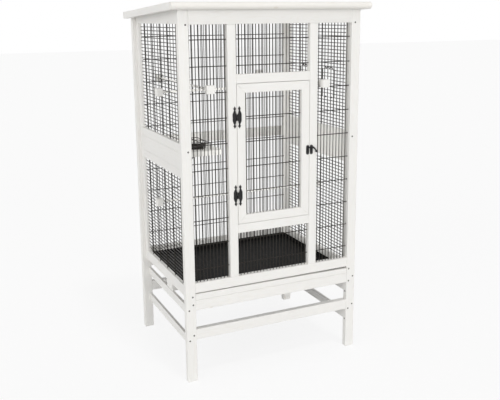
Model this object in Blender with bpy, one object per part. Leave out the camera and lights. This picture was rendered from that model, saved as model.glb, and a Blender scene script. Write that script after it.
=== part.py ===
"""Wooden indoor aviary on four legs, with wire walls, a hinged door, a pull-out tray and perches.

Units are metres, +Z is up and the front faces -Y. The origin is on the floor, midway under the roof.
"""
import math

import bmesh
import bpy
from mathutils import Matrix, Vector

# Clearance between neighbouring pieces
GAP = 0.0003

# Overall size and corner posts
WIDTH = 0.800
DEPTH = 0.632
FRONT = -0.3035
BACK = FRONT + DEPTH
LEFT = -WIDTH / 2
RIGHT = WIDTH / 2
POST_W = 0.041
POST_D = 0.026
LATH = 0.036
EDGE_ROUND = 0.0012

# Roof: a board that falls towards the back, with a half-round front nosing
ROOF_OVERHANG = 0.034
ROOF_FRONT = FRONT - 0.033
ROOF_BACK = BACK + 0.001
ROOF_LOW_EDGE_FRONT = 1.503
ROOF_LOW_EDGE_BACK = 1.471
ROOF_EDGE = 0.0285
ROOF_BOARD = 0.016
SKIRT_W = 0.020
NOSING_D = 0.024
ROOF_PITCH = math.atan((ROOF_LOW_EDGE_FRONT - ROOF_LOW_EDGE_BACK) / (ROOF_BACK - ROOF_FRONT))

# Front wall heights
HEADER_LOW = 1.4475
TRANSOM_TOP = 1.2562
DOOR_HEAD = 1.2200
DOOR_FOOT = 0.6490
SILL_LOW = 0.6120
BOTTOM_RAIL_TOP = 0.4268
BOTTOM_RAIL_LOW = 0.3855
MULLION_LEFT = LEFT + 0.1975
MULLION_RIGHT = LEFT + 0.5625
DOOR_PLAY = 0.0015
DOOR_THICK = 0.022

# Side walls: an upper and a lower frame with a board between them
SIDE_RECESS = 0.015
SIDE_THICK = 0.015
SIDE_TOP_OPENING = 1.4505
SIDE_MID_HIGH = 0.954
SIDE_MID_LOW = 0.888
SIDE_LOW = 0.3545
SIDE_BASE_OPENING = 0.4010

# Back wall boards
BACK_RECESS = 0.003
BACK_BOARD = 0.016
BACK_MID_LOW = 0.890
BACK_MID_HIGH = 0.936
BACK_TOP_LOW = 1.4500
BACK_BASE_HIGH = 0.4010

# Stand
STAND_RAIL_LOW = 0.3105
STAND_RAIL_HIGH = 0.3540
STRETCHER_LOW = 0.1840
STRETCHER_HIGH = 0.2285
SIDE_STAND_LOW = 0.2655
SIDE_STRETCHER_LOW = 0.1330
SIDE_RAIL_RECESS = 0.0285
SIDE_RAIL_THICK = 0.0125

# Wire walls: fine wires at a close pitch, carried by wide-pitch wires across them
WIRE = 0.0030
FINE_PITCH = 0.015
WIDE_PITCH = 0.1015
FINE_SHOWN = 3
WIRE_DEPTH = 0.012
SIDE_WIRE_DEPTH = 0.0235
FINE_X = LEFT + 0.1285
FINE_Z = 1.1805
WIDE_Z = 1.3910
WIDE_Y_LEFT = FRONT + 0.1968
WIDE_Y_RIGHT = FRONT + 0.1650

# Tray and its front board
TRAY_LOW = 0.3573
TRAY_RIM = 0.0225
TRAY_WALL = 0.0020
TRAY_SIDE_ROOM = 0.045
TRAY_END = FRONT + 0.600
FRONT_BOARD_THICK = 0.018
FRONT_BOARD_PLAY = 0.001
FRONT_BOARD_LEFT_TOP = 0.3815
FRONT_BOARD_RIGHT_TOP = 0.3772
RUNNER_IN = 0.0303
RUNNER_OUT = 0.058
RUNNER_LOW = 0.337
RUNNER_BLOCK = (FRONT + 0.266, FRONT + 0.339)

# Hinges: two leaves whose knuckles meet end to end on a pin in front of the door
HINGE_HEIGHTS = {"upper": 1.088, "lower": 0.771}
HINGE_X = MULLION_LEFT + LATH + DOOR_PLAY / 2
HINGE_Y = FRONT - 0.0040
LEAF_THICK = 0.0016
LEAF_HALF = 0.044
BARREL_R = 0.0032
BARREL_HALF = 0.0130
PIN_R = 0.0013
PIN_BORE_R = 0.0018
PIN_ROOT = 0.0020
WEB_REACH = (0.0008, 0.0040)
WEB_HEIGHT = (0.0010, 0.0128)
WEB_DEEP = 0.0029

# Latch: a lever that turns on the door's plate and drops on to the keeper's ledge
LATCH_Z = 0.9310
LATCH_X = MULLION_RIGHT - DOOR_PLAY - 0.0080
KEEPER_X = MULLION_RIGHT + 0.0085
LATCH_PLATE = (0.0130, 0.0400)
LEVER_Z = LATCH_Z + 0.0100
STUD_R = 0.0018
STUD_BORE_R = 0.0022
STUD_OUT = 0.0060
LEDGE_HALF = 0.0045
LEDGE_OUT = 0.0050
LEDGE_TOP = LEVER_Z - 0.0031
LEDGE_THICK = 0.0027
LEVER_NEAR = 0.0012
LEVER_FAR = 0.0044
LEVER_HUB = 0.0042
LEVER_HALF = 0.0022
LEVER_BEND = KEEPER_X + 0.0100
KNOB_R = 0.0048
KNOB_OFF = (0.0120, -0.0180)

# Perches, each a round rod with a square block outside the wire at both ends
ROD_R = 0.0050
BLOCK_SIDE = 0.033
BLOCK_DEEP = 0.026
PERCH_X = (LEFT + 0.121, LEFT + 0.631)
PERCH_FRONT_BACK_Z = 1.203
PERCH_ACROSS = {"upper": (FRONT + 0.288, 1.173), "lower": (FRONT + 0.336, 0.693)}

# Feeding hatches in the right wall and the feeding shelf on the left
HATCH_LOW = 1.118
HATCH_HIGH = 1.243
HATCH_WIRE = 0.0026
HATCH_BARS = 3
HATCH_COLUMNS = {"front": 0, "rear": 2}
HATCH_EDGES = (FINE_Z - 5 * FINE_PITCH, FINE_Z + 5 * FINE_PITCH)
SHELF = (LEFT + 0.0303, LEFT + 0.224, FRONT + 0.130, FRONT + 0.330, 0.918, 0.939)
DISH_R = 0.052
DISH_BASE_R = 0.0375
DISH_HIGH = 0.034
DISH_WALL = 0.0022
DISH_AT = (LEFT + 0.135, FRONT + 0.225)


def clear_scene():
    for obj in list(bpy.data.objects):
        bpy.data.objects.remove(obj, do_unlink=True)


def material(name, colour, roughness, metallic=0.0):
    mat = bpy.data.materials.new(name)
    mat.use_nodes = True
    shader = mat.node_tree.nodes["Principled BSDF"]
    shader.inputs["Base Color"].default_value = (*colour, 1.0)
    shader.inputs["Roughness"].default_value = roughness
    shader.inputs["Metallic"].default_value = metallic
    return mat


PAINT = (0.84, 0.83, 0.81)
WIRE_BLACK = (0.025, 0.022, 0.020)
IRON_BLACK = (0.012, 0.012, 0.013)
TRAY_BLACK = (0.020, 0.020, 0.021)


def add_object(name, bm, colour, roughness, metallic=0.0, rounding=0.0, smooth=False):
    """Turn a bmesh into a named object with its own material."""
    bmesh.ops.recalc_face_normals(bm, faces=bm.faces)
    mesh = bpy.data.meshes.new(name)
    bm.to_mesh(mesh)
    bm.free()
    obj = bpy.data.objects.new(name, mesh)
    bpy.context.scene.collection.objects.link(obj)
    mesh.materials.append(material(name + "_finish", colour, roughness, metallic))
    if rounding:
        bevel = obj.modifiers.new("edge_round", "BEVEL")
        bevel.width = rounding
        bevel.segments = 1
        bevel.limit_method = "ANGLE"
        bevel.angle_limit = math.radians(40)
    if smooth:
        mesh.shade_smooth()
        mesh.set_sharp_from_angle(angle=math.radians(40))
    return obj


def wood(name, bm, rounding=EDGE_ROUND):
    return add_object(name, bm, PAINT, 0.45, rounding=rounding)


def place(axis, u, v, w):
    """Map panel coordinates to the world: the panel lies across the named axis."""
    if axis == "y":
        return Vector((u, w, v))
    if axis == "x":
        return Vector((w, u, v))
    return Vector((u, v, w))


def plate_mesh(axis, us, vs, solid, low, high):
    """A flat plate over the grid of us and vs, solid where asked, from low to high across it."""
    bm = bmesh.new()
    grid = {}

    def corner(i, j):
        if (i, j) not in grid:
            grid[i, j] = bm.verts.new(place(axis, us[i], vs[j], low))
        return grid[i, j]

    for i in range(len(us) - 1):
        for j in range(len(vs) - 1):
            if solid(i, j):
                bm.faces.new((corner(i, j), corner(i + 1, j), corner(i + 1, j + 1), corner(i, j + 1)))
    grown = bmesh.ops.extrude_face_region(bm, geom=bm.faces[:])
    moved = [item for item in grown["geom"] if isinstance(item, bmesh.types.BMVert)]
    bmesh.ops.translate(bm, verts=moved, vec=place(axis, 0, 0, high - low))
    return bm


def board_mesh(x0, x1, y0, y1, z0, z1):
    return plate_mesh("z", (x0, x1), (y0, y1), lambda i, j: True, z0, z1)


def roof_underside(y):
    """Height of the roof board's lower face above a point at this depth."""
    lift = (ROOF_EDGE - ROOF_BOARD) / math.cos(ROOF_PITCH)
    return ROOF_LOW_EDGE_FRONT + lift - (y - ROOF_FRONT) * math.tan(ROOF_PITCH)


def cut_to_roof(bm):
    """Raise or lower the topmost corners to just under the sloping roof."""
    top = max(vert.co.z for vert in bm.verts)
    for vert in bm.verts:
        if vert.co.z > top - 0.0001:
            vert.co.z = roof_underside(vert.co.y) - GAP
    return bm


def between(centre_start, pitch, low, high, margin):
    """Positions at a pitch through centre_start that keep a margin inside low and high."""
    first = math.ceil((low + margin - centre_start) / pitch)
    last = math.floor((high - margin - centre_start) / pitch)
    return [centre_start + pitch * k for k in range(first, last + 1)]


def wire_wall(name, axis, at, u_range, v_range, u_wires, v_wires, opened=()):
    """A flat welded wire wall. opened lists boxes (u0, u1, v0, v1) that v wires don't cross."""

    def lines(span, wires):
        cuts = [span[0] + GAP]
        for centre in wires:
            cuts += [centre - WIRE / 2, centre + WIRE / 2]
        return cuts + [span[1] - GAP]

    us = lines(u_range, u_wires)
    vs = lines(v_range, v_wires)

    def solid(i, j):
        if i % 2:
            return True
        if not j % 2:
            return False
        u = (us[i] + us[i + 1]) / 2
        v = (vs[j] + vs[j + 1]) / 2
        return not any(u0 < u < u1 and v0 < v < v1 for u0, u1, v0, v1 in opened)

    bm = plate_mesh(axis, us, vs, solid, at - WIRE / 2, at + WIRE / 2)
    return add_object(name, bm, WIRE_BLACK, 0.5, metallic=0.3)


def ring_mesh(axis, u_range, v_range, u_hole, v_hole, low, high):
    """A rectangular frame with one opening."""
    us = (u_range[0], u_hole[0], u_hole[1], u_range[1])
    vs = (v_range[0], v_hole[0], v_hole[1], v_range[1])
    return plate_mesh(axis, us, vs, lambda i, j: (i, j) != (1, 1), low, high)


def outline_mesh(axis, points, low, high):
    """A flat outline of (u, v) points pushed from low to high across its axis."""
    bm = bmesh.new()
    verts = [bm.verts.new(place(axis, u, v, low)) for u, v in points]
    face = bm.faces.new(verts)
    grown = bmesh.ops.extrude_face_region(bm, geom=[face])
    moved = [item for item in grown["geom"] if isinstance(item, bmesh.types.BMVert)]
    bmesh.ops.translate(bm, verts=moved, vec=place(axis, 0, 0, high - low))
    return bm


def cylinder_mesh(radius, low, high, at, turn=None, sides=16):
    """A round bar along Z from low to high, then turned and moved to at."""
    bm = bmesh.new()
    bmesh.ops.create_cone(bm, cap_ends=True, segments=sides, radius1=radius, radius2=radius, depth=high - low)
    bmesh.ops.translate(bm, verts=bm.verts, vec=(0, 0, (low + high) / 2))
    if turn:
        bmesh.ops.rotate(bm, verts=bm.verts, cent=(0, 0, 0), matrix=turn)
    bmesh.ops.translate(bm, verts=bm.verts, vec=at)
    return bm


def combined(obj, bm, operation):
    """Join a bmesh to an object, or cut it away, as one solid."""
    mesh = bpy.data.meshes.new("tool")
    bmesh.ops.recalc_face_normals(bm, faces=bm.faces)
    bm.to_mesh(mesh)
    bm.free()
    tool = bpy.data.objects.new("tool", mesh)
    bpy.context.scene.collection.objects.link(tool)
    cut = obj.modifiers.new("combine", "BOOLEAN")
    cut.operation = operation
    cut.object = tool
    bpy.context.view_layer.update()
    result = bpy.data.meshes.new_from_object(obj.evaluated_get(bpy.context.evaluated_depsgraph_get()))
    obj.modifiers.remove(cut)
    result.name = obj.name
    obj.data = result
    bpy.data.objects.remove(tool, do_unlink=True)
    return obj


def hold_on(obj, pivot):
    """Parent an object to its joint's empty and keep it in place."""
    obj.parent = pivot
    obj.matrix_parent_inverse = pivot.matrix_world.inverted()


def pivot_empty(name, at):
    empty = bpy.data.objects.new(name, None)
    empty.location = at
    bpy.context.scene.collection.objects.link(empty)
    bpy.context.view_layer.update()
    return empty


def build_posts():
    xs = {"left": (LEFT, LEFT + POST_W), "right": (RIGHT - POST_W, RIGHT)}
    ys = {"front": (FRONT, FRONT + POST_D), "back": (BACK - POST_D, BACK)}
    for depth, (y0, y1) in ys.items():
        for side, (x0, x1) in xs.items():
            bm = board_mesh(x0, x1, y0, y1, 0.0, ROOF_LOW_EDGE_FRONT)
            wood(f"post_{depth}_{side}", cut_to_roof(bm))


def build_front_wall():
    inner = (LEFT + POST_W + GAP, RIGHT - POST_W - GAP)
    deep = (FRONT, FRONT + POST_D)
    wood("front_header", cut_to_roof(board_mesh(*inner, *deep, HEADER_LOW, ROOF_LOW_EDGE_FRONT)))
    wood("front_bottom_rail", board_mesh(*inner, *deep, BOTTOM_RAIL_LOW, BOTTOM_RAIL_TOP))
    upright = (BOTTOM_RAIL_TOP + GAP, HEADER_LOW - GAP)
    wood("mullion_left", board_mesh(MULLION_LEFT, MULLION_LEFT + LATH, *deep, *upright))
    wood("mullion_right", board_mesh(MULLION_RIGHT, MULLION_RIGHT + LATH, *deep, *upright))
    middle = (MULLION_LEFT + LATH + GAP, MULLION_RIGHT - GAP)
    wood("front_transom", board_mesh(*middle, *deep, DOOR_HEAD, TRANSOM_TOP))
    wood("door_sill_rail", board_mesh(*middle, *deep, SILL_LOW, DOOR_FOOT))


def build_side_walls():
    span = (FRONT + POST_D + GAP, BACK - POST_D - GAP)
    hole = (span[0] + LATH, span[1] - LATH)
    for side in ("left", "right"):
        outer = LEFT + SIDE_RECESS if side == "left" else RIGHT - SIDE_RECESS - SIDE_THICK
        across = (outer, outer + SIDE_THICK)
        upper = ring_mesh("x", span, (SIDE_MID_HIGH + GAP, ROOF_LOW_EDGE_FRONT), hole,
                          (SIDE_MID_HIGH + LATH, SIDE_TOP_OPENING), *across)
        wood(f"side_frame_upper_{side}", cut_to_roof(upper))
        lower = ring_mesh("x", span, (SIDE_LOW, SIDE_MID_LOW - GAP), hole,
                          (SIDE_BASE_OPENING, SIDE_MID_LOW - LATH), *across)
        wood(f"side_frame_lower_{side}", lower)
        wood(f"side_mid_board_{side}", board_mesh(*across, *span, SIDE_MID_LOW, SIDE_MID_HIGH))


def build_back_wall():
    inner = (LEFT + POST_W + GAP, RIGHT - POST_W - GAP)
    deep = (BACK - BACK_RECESS - BACK_BOARD, BACK - BACK_RECESS)
    wood("back_top_rail", cut_to_roof(board_mesh(*inner, *deep, BACK_TOP_LOW, ROOF_LOW_EDGE_BACK)))
    wood("back_mid_rail", board_mesh(*inner, *deep, BACK_MID_LOW, BACK_MID_HIGH))
    wood("back_bottom_rail", board_mesh(*inner, *deep, SIDE_LOW, BACK_BASE_HIGH))


def build_stand():
    inner = (LEFT + POST_W + GAP, RIGHT - POST_W - GAP)
    ends = {"front": (FRONT, FRONT + POST_D), "back": (BACK - POST_D, BACK)}
    for name, deep in ends.items():
        wood(f"stand_rail_{name}", board_mesh(*inner, *deep, STAND_RAIL_LOW, STAND_RAIL_HIGH))
        wood(f"stretcher_{name}", board_mesh(*inner, *deep, STRETCHER_LOW, STRETCHER_HIGH))
    along = (FRONT + POST_D + GAP, BACK - POST_D - GAP)
    lows = {"stand_rail": SIDE_STAND_LOW, "stretcher": SIDE_STRETCHER_LOW}
    for side in ("left", "right"):
        outer = LEFT + SIDE_RAIL_RECESS if side == "left" else RIGHT - SIDE_RAIL_RECESS - SIDE_RAIL_THICK
        for piece, low in lows.items():
            bm = board_mesh(outer, outer + SIDE_RAIL_THICK, *along, low, low + LATH)
            wood(f"{piece}_{side}", bm)


def build_runners():
    """Strips that the tray slides on, each with a block that stands on the stand's side rail."""
    along = (FRONT + POST_D + GAP, RUNNER_BLOCK[0], RUNNER_BLOCK[1], BACK - POST_D - GAP)
    heights = (SIDE_STAND_LOW + LATH + GAP, RUNNER_LOW, TRAY_LOW - GAP)
    for side in ("left", "right"):
        low = LEFT + RUNNER_IN if side == "left" else RIGHT - RUNNER_OUT
        high = LEFT + RUNNER_OUT if side == "left" else RIGHT - RUNNER_IN
        bm = plate_mesh("x", along, heights, lambda i, j: j == 1 or i == 1, low, high)
        wood(f"tray_runner_{side}", bm)


def build_tray():
    slide = pivot_empty("tray_slide", (0, FRONT, TRAY_LOW))
    x0, x1 = LEFT + TRAY_SIDE_ROOM, RIGHT - TRAY_SIDE_ROOM
    y0 = FRONT + FRONT_BOARD_THICK + GAP
    bm = board_mesh(x0, x1, y0, TRAY_END, TRAY_LOW, TRAY_LOW + TRAY_RIM)
    top = max(bm.faces, key=lambda face: face.calc_center_median().z)
    bmesh.ops.inset_region(bm, faces=[top], thickness=TRAY_WALL)
    pressed = bmesh.ops.extrude_face_region(bm, geom=[top])
    bmesh.ops.delete(bm, geom=[top], context="FACES_ONLY")
    floor = [item for item in pressed["geom"] if isinstance(item, bmesh.types.BMVert)]
    bmesh.ops.translate(bm, verts=floor, vec=(0, 0, TRAY_WALL - TRAY_RIM))
    hold_on(add_object("tray", bm, TRAY_BLACK, 0.55), slide)
    left, right = LEFT + POST_W + FRONT_BOARD_PLAY, RIGHT - POST_W - FRONT_BOARD_PLAY
    low = STAND_RAIL_HIGH + 2 * GAP
    face = [(left, low), (right, low), (right, FRONT_BOARD_RIGHT_TOP), (left, FRONT_BOARD_LEFT_TOP)]
    bm = outline_mesh("y", face, FRONT, FRONT + FRONT_BOARD_THICK)
    hold_on(wood("tray_front_board", bm), slide)


def nosing_outline():
    """Side view of the roof's front moulding: flat back, half-round front."""
    radius = ROOF_EDGE / 2
    points = [(NOSING_D, ROOF_EDGE), (NOSING_D, 0.0)]
    steps = 8
    for k in range(steps + 1):
        angle = -math.pi / 2 - math.pi * k / steps
        points.append((radius + radius * math.cos(angle), radius + radius * math.sin(angle)))
    return points


def build_roof():
    slope = bpy.data.objects.new("roof_slope", None)
    slope.location = (0, ROOF_FRONT, ROOF_LOW_EDGE_FRONT)
    slope.rotation_euler = (-ROOF_PITCH, 0, 0)
    bpy.context.scene.collection.objects.link(slope)
    outer = WIDTH / 2 + ROOF_OVERHANG
    bm = outline_mesh("x", nosing_outline(), -outer, outer)
    add_object("roof_nosing", bm, PAINT, 0.4, smooth=True).parent = slope
    us = (-outer, -outer + SKIRT_W, outer - SKIRT_W, outer)
    vs = (0.0, ROOF_EDGE - ROOF_BOARD, ROOF_EDGE)
    length = (ROOF_BACK - ROOF_FRONT) / math.cos(ROOF_PITCH)
    bm = plate_mesh("y", us, vs, lambda i, j: j == 1 or i != 1, NOSING_D + GAP, length - 0.001)
    wood("roof_panel", bm).parent = slope


def build_door():
    pivot = pivot_empty("door_pivot", (HINGE_X, HINGE_Y, DOOR_FOOT))
    xs = (MULLION_LEFT + LATH + DOOR_PLAY, MULLION_RIGHT - DOOR_PLAY)
    zs = (DOOR_FOOT + DOOR_PLAY, DOOR_HEAD - DOOR_PLAY)
    x_hole = (xs[0] + LATH, xs[1] - LATH)
    z_hole = (zs[0] + LATH, zs[1] - LATH)
    frame = ring_mesh("y", xs, zs, x_hole, z_hole, FRONT, FRONT + DOOR_THICK)
    hold_on(wood("door_frame", frame), pivot)
    fine = between(FINE_X, FINE_PITCH * FINE_SHOWN, *x_hole, 0.004)
    wide = between(WIDE_Z, WIDE_PITCH, *z_hole, 0.006)
    wires = wire_wall("door_wire", "y", FRONT + WIRE_DEPTH, x_hole, z_hole, fine, wide)
    hold_on(wires, pivot)
    return pivot


def leaf_outline(side, at_z):
    """Butterfly hinge leaf: a bulged plate that narrows to an arrow tip above and below."""
    half = [(0.0034, 0.0150), (0.0050, 0.0175), (0.0062, 0.0240), (0.0078, 0.0290), (0.0050, 0.0330),
            (0.0068, 0.0360), (0.0100, LEAF_HALF), (0.0132, 0.0360), (0.0150, 0.0330), (0.0122, 0.0290),
            (0.0148, 0.0240), (0.0190, 0.0140)]
    points = half + [(u, -v) for u, v in reversed(half)]
    return [(HINGE_X + side * u, at_z + v) for u, v in points]


def build_hinges(pivot):
    """Two hinges: the leaf on the mullion carries the pin, and the door's leaf turns on it."""
    back = FRONT - GAP
    axis_at = (HINGE_X, HINGE_Y, 0)
    for name, z in HINGE_HEIGHTS.items():
        leaves = {}
        for side, holder in ((-1, "fixed"), (1, "door")):
            outline = outline_mesh("y", leaf_outline(side, z), back - LEAF_THICK, back)
            leaf = add_object(f"hinge_{name}_{holder}_leaf", outline, IRON_BLACK, 0.45, 0.6)
            ends = sorted((z + side * GAP / 2, z + side * BARREL_HALF))
            combined(leaf, cylinder_mesh(BARREL_R, *ends, axis_at), "UNION")
            xs = sorted(HINGE_X + side * reach for reach in WEB_REACH)
            zs = sorted(z + side * height for height in WEB_HEIGHT)
            combined(leaf, board_mesh(*xs, back - WEB_DEEP, back, *zs), "UNION")
            leaves[holder] = leaf
        pin = cylinder_mesh(PIN_R, z - PIN_ROOT, z + BARREL_HALF, axis_at, sides=10)
        combined(leaves["fixed"], pin, "UNION")
        bore = cylinder_mesh(PIN_BORE_R, z - BARREL_HALF, z + 2 * BARREL_HALF, axis_at, sides=10)
        combined(leaves["door"], bore, "DIFFERENCE")
        hold_on(leaves["door"], pivot)


def rounded_plate(centre_x, centre_z, wide, tall):
    """Outline of an upright plate with half-round ends."""
    radius = wide / 2
    points = []
    for start, z in ((0.0, centre_z + tall / 2 - radius), (math.pi, centre_z - tall / 2 + radius)):
        for k in range(9):
            angle = start + math.pi * k / 8
            points.append((centre_x + radius * math.cos(angle), z + radius * math.sin(angle)))
    return points


def build_latch(pivot):
    """A turning lever on the door that drops on to a ledge on the mullion."""
    back = FRONT - GAP
    front = back - LEAF_THICK
    sideways = Matrix.Rotation(math.pi / 2, 3, "X")
    stud_at = (LATCH_X, front, LEVER_Z)
    plates = {}
    for name, x in (("latch_plate", LATCH_X), ("latch_keeper", KEEPER_X)):
        outline = outline_mesh("y", rounded_plate(x, LATCH_Z, *LATCH_PLATE), front, back)
        plates[name] = add_object(name, outline, IRON_BLACK, 0.45, 0.6)
    stud = cylinder_mesh(STUD_R, -LEAF_THICK / 2, STUD_OUT, stud_at, sideways, 12)
    combined(plates["latch_plate"], stud, "UNION")
    hold_on(plates["latch_plate"], pivot)
    ledge = board_mesh(KEEPER_X - LEDGE_HALF, KEEPER_X + LEDGE_HALF,
                       front - LEDGE_OUT, front + LEAF_THICK / 2, LEDGE_TOP - LEDGE_THICK, LEDGE_TOP)
    combined(plates["latch_keeper"], ledge, "UNION")

    near, far = front - LEVER_NEAR, front - LEVER_FAR
    turn = pivot_empty("latch_pivot", (LATCH_X, (near + far) / 2, LEVER_Z))
    steps = 10
    angles = [math.pi * (0.25 + 1.5 * k / steps) for k in range(steps + 1)]
    outline = [(LATCH_X + LEVER_HUB * math.cos(a), LEVER_Z + LEVER_HUB * math.sin(a)) for a in angles]
    knob_x, knob_z = LEVER_BEND + KNOB_OFF[0], LEVER_Z + KNOB_OFF[1]
    outline.append((LEVER_BEND - 2 * LEVER_HALF, LEVER_Z - LEVER_HALF))
    outline.append((knob_x - LEVER_HALF, knob_z + LEVER_HALF))
    outline.append((knob_x + LEVER_HALF / 2, knob_z + 2 * LEVER_HALF))
    outline.append((LEVER_BEND, LEVER_Z + LEVER_HALF))
    lever = add_object("latch_lever", outline_mesh("y", outline, far, near), IRON_BLACK, 0.45, 0.6)
    knob = bmesh.new()
    bmesh.ops.create_uvsphere(knob, u_segments=12, v_segments=8, radius=KNOB_R)
    bmesh.ops.translate(knob, verts=knob.verts, vec=(knob_x, (near + far) / 2 - GAP, knob_z))
    combined(lever, knob, "UNION")
    combined(lever, cylinder_mesh(STUD_BORE_R, -STUD_OUT, 2 * STUD_OUT, stud_at, sideways, 12), "DIFFERENCE")
    hold_on(lever, turn)
    hold_on(turn, pivot)


def build_wire_walls():
    fine = FINE_PITCH * FINE_SHOWN
    front_at = FRONT + WIRE_DEPTH
    bays = {
        "front_wire_left": ((LEFT + POST_W, MULLION_LEFT), (BOTTOM_RAIL_TOP, HEADER_LOW)),
        "front_wire_right": ((MULLION_RIGHT + LATH, RIGHT - POST_W), (BOTTOM_RAIL_TOP, HEADER_LOW)),
        "front_wire_top": ((MULLION_LEFT + LATH, MULLION_RIGHT), (TRANSOM_TOP, HEADER_LOW)),
        "front_wire_bottom": ((MULLION_LEFT + LATH, MULLION_RIGHT), (BOTTOM_RAIL_TOP, SILL_LOW)),
    }
    for name, (xs, zs) in bays.items():
        wire_wall(name, "y", front_at, xs, zs, between(FINE_X, fine, *xs, 0.004),
                  between(WIDE_Z, WIDE_PITCH, *zs, 0.006))
    xs = (LEFT + POST_W, RIGHT - POST_W)
    zs = (SIDE_LOW + 0.010, roof_underside(BACK) - 0.006)
    wire_wall("back_wire", "y", BACK - BACK_RECESS - BACK_BOARD - GAP - WIRE / 2, xs, zs,
              between(FINE_X, fine, *xs, 0.004), between(WIDE_Z, WIDE_PITCH, *zs, 0.006))
    ys = (FRONT + POST_D + GAP + LATH, BACK - POST_D - GAP - LATH)
    levels = {
        "upper": (SIDE_MID_HIGH + LATH, SIDE_TOP_OPENING),
        "lower": (SIDE_BASE_OPENING, SIDE_MID_LOW - LATH),
    }
    for side, start in (("left", WIDE_Y_LEFT), ("right", WIDE_Y_RIGHT)):
        at = LEFT + SIDE_WIRE_DEPTH if side == "left" else RIGHT - SIDE_WIRE_DEPTH
        for level, zs in levels.items():
            opened = []
            across = between(FINE_Z, fine, *zs, 0.004)
            if (side, level) == ("right", "upper"):
                opened = [(*hatch_span(column), HATCH_LOW, HATCH_HIGH) for column in HATCH_COLUMNS.values()]
                across = sorted(across + list(HATCH_EDGES))
            wire_wall(f"side_wire_{level}_{side}", "x", at, ys, zs, between(start, WIDE_PITCH, *ys, 0.006),
                      across, opened)


def hatch_span(column):
    """A hatch fills the bay between two wide-pitch wires of the right wall."""
    start = WIDE_Y_RIGHT + column * WIDE_PITCH
    return start, start + WIDE_PITCH


def build_hatches():
    """Wire flaps on the outside of the right wall, hung at their lower edge."""
    wall = RIGHT - SIDE_WIRE_DEPTH + WIRE / 2
    low, high = wall + GAP * 2, wall + GAP * 2 + HATCH_WIRE
    for name, column in HATCH_COLUMNS.items():
        y0, y1 = hatch_span(column)
        pivot = pivot_empty(f"hatch_{name}_pivot", ((low + high) / 2, (y0 + y1) / 2, HATCH_LOW))
        half = HATCH_WIRE / 2
        bars = [y0 + (y1 - y0) * k / (HATCH_BARS + 1) for k in range(HATCH_BARS + 2)]
        us = [edge for y in bars for edge in (y - half, y + half)]
        levels = (HATCH_LOW, (HATCH_LOW + HATCH_HIGH) / 2, HATCH_HIGH)
        vs = [edge for z in levels for edge in (z - half, z + half)]
        bm = plate_mesh("x", us, vs, lambda i, j: not i % 2 or not j % 2, low, high)
        hold_on(add_object(f"hatch_{name}", bm, WIRE_BLACK, 0.5, 0.3), pivot)


def build_perch(name, axis, span, at):
    """A round rod centred on at, with a square block past each end of its span along the axis."""
    turn = Matrix.Rotation(math.pi / 2, 3, "Y" if axis == "x" else "X")
    half = BLOCK_SIDE / 2
    reach = (span[1] - span[0] + BLOCK_DEEP) / 2
    perch = add_object(name, cylinder_mesh(ROD_R, -reach, reach, at, turn), PAINT, 0.5)
    u = at[1] if axis == "x" else at[0]
    z = at[2]
    for low, high in ((span[0] - BLOCK_DEEP, span[0]), (span[1], span[1] + BLOCK_DEEP)):
        block = plate_mesh(axis, (u - half, u + half), (z - half, z + half), lambda i, j: True, low, high)
        combined(perch, block, "UNION")
    perch.data.shade_smooth()
    perch.data.set_sharp_from_angle(angle=math.radians(40))


def build_perches():
    front = FRONT + WIRE_DEPTH - WIRE / 2 - GAP
    back = BACK - BACK_RECESS - BACK_BOARD + GAP
    for name, x in zip(("left", "right"), PERCH_X):
        at = (x, (front + back) / 2, PERCH_FRONT_BACK_Z)
        build_perch(f"perch_lengthways_{name}", "y", (front, back), at)
    side = WIDTH / 2 - SIDE_WIRE_DEPTH + WIRE / 2 + GAP
    for name, (y, z) in PERCH_ACROSS.items():
        build_perch(f"perch_across_{name}", "x", (-side, side), (0, y, z))


def build_feeding_place():
    wood("feeding_shelf", board_mesh(*SHELF))
    top = SHELF[5] + GAP
    x, y = DISH_AT
    profile = [(0.0, 0.0), (DISH_BASE_R, 0.0), (DISH_R, DISH_HIGH), (DISH_R - DISH_WALL, DISH_HIGH),
               (DISH_BASE_R - DISH_WALL, DISH_WALL), (0.0, DISH_WALL)]
    bm = bmesh.new()
    verts = [bm.verts.new((r, 0, z)) for r, z in profile]
    edges = [bm.edges.new(pair) for pair in zip(verts, verts[1:])]
    bmesh.ops.spin(bm, geom=verts + edges, cent=(0, 0, 0), axis=(0, 0, 1), angle=2 * math.pi, steps=24,
                   use_merge=True)
    bmesh.ops.remove_doubles(bm, verts=bm.verts, dist=0.00005)
    bmesh.ops.translate(bm, verts=bm.verts, vec=(x, y, top))
    add_object("feeding_dish", bm, IRON_BLACK, 0.4, smooth=True)


def build():
    clear_scene()
    build_posts()
    build_front_wall()
    build_side_walls()
    build_back_wall()
    build_stand()
    build_runners()
    build_tray()
    build_roof()
    pivot = build_door()
    build_hinges(pivot)
    build_latch(pivot)
    build_wire_walls()
    build_hatches()
    build_perches()
    build_feeding_place()


build()
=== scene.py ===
"""Looks of the wooden indoor aviary: painted wood, its full wire mesh, the fittings and a plain stage.

Run it as a script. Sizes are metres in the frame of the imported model, whose front faces -Y.
"""
import math

import bmesh
import bpy
from bpy.props import FloatProperty, FloatVectorProperty, PointerProperty
from mathutils import Matrix, Vector


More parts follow.
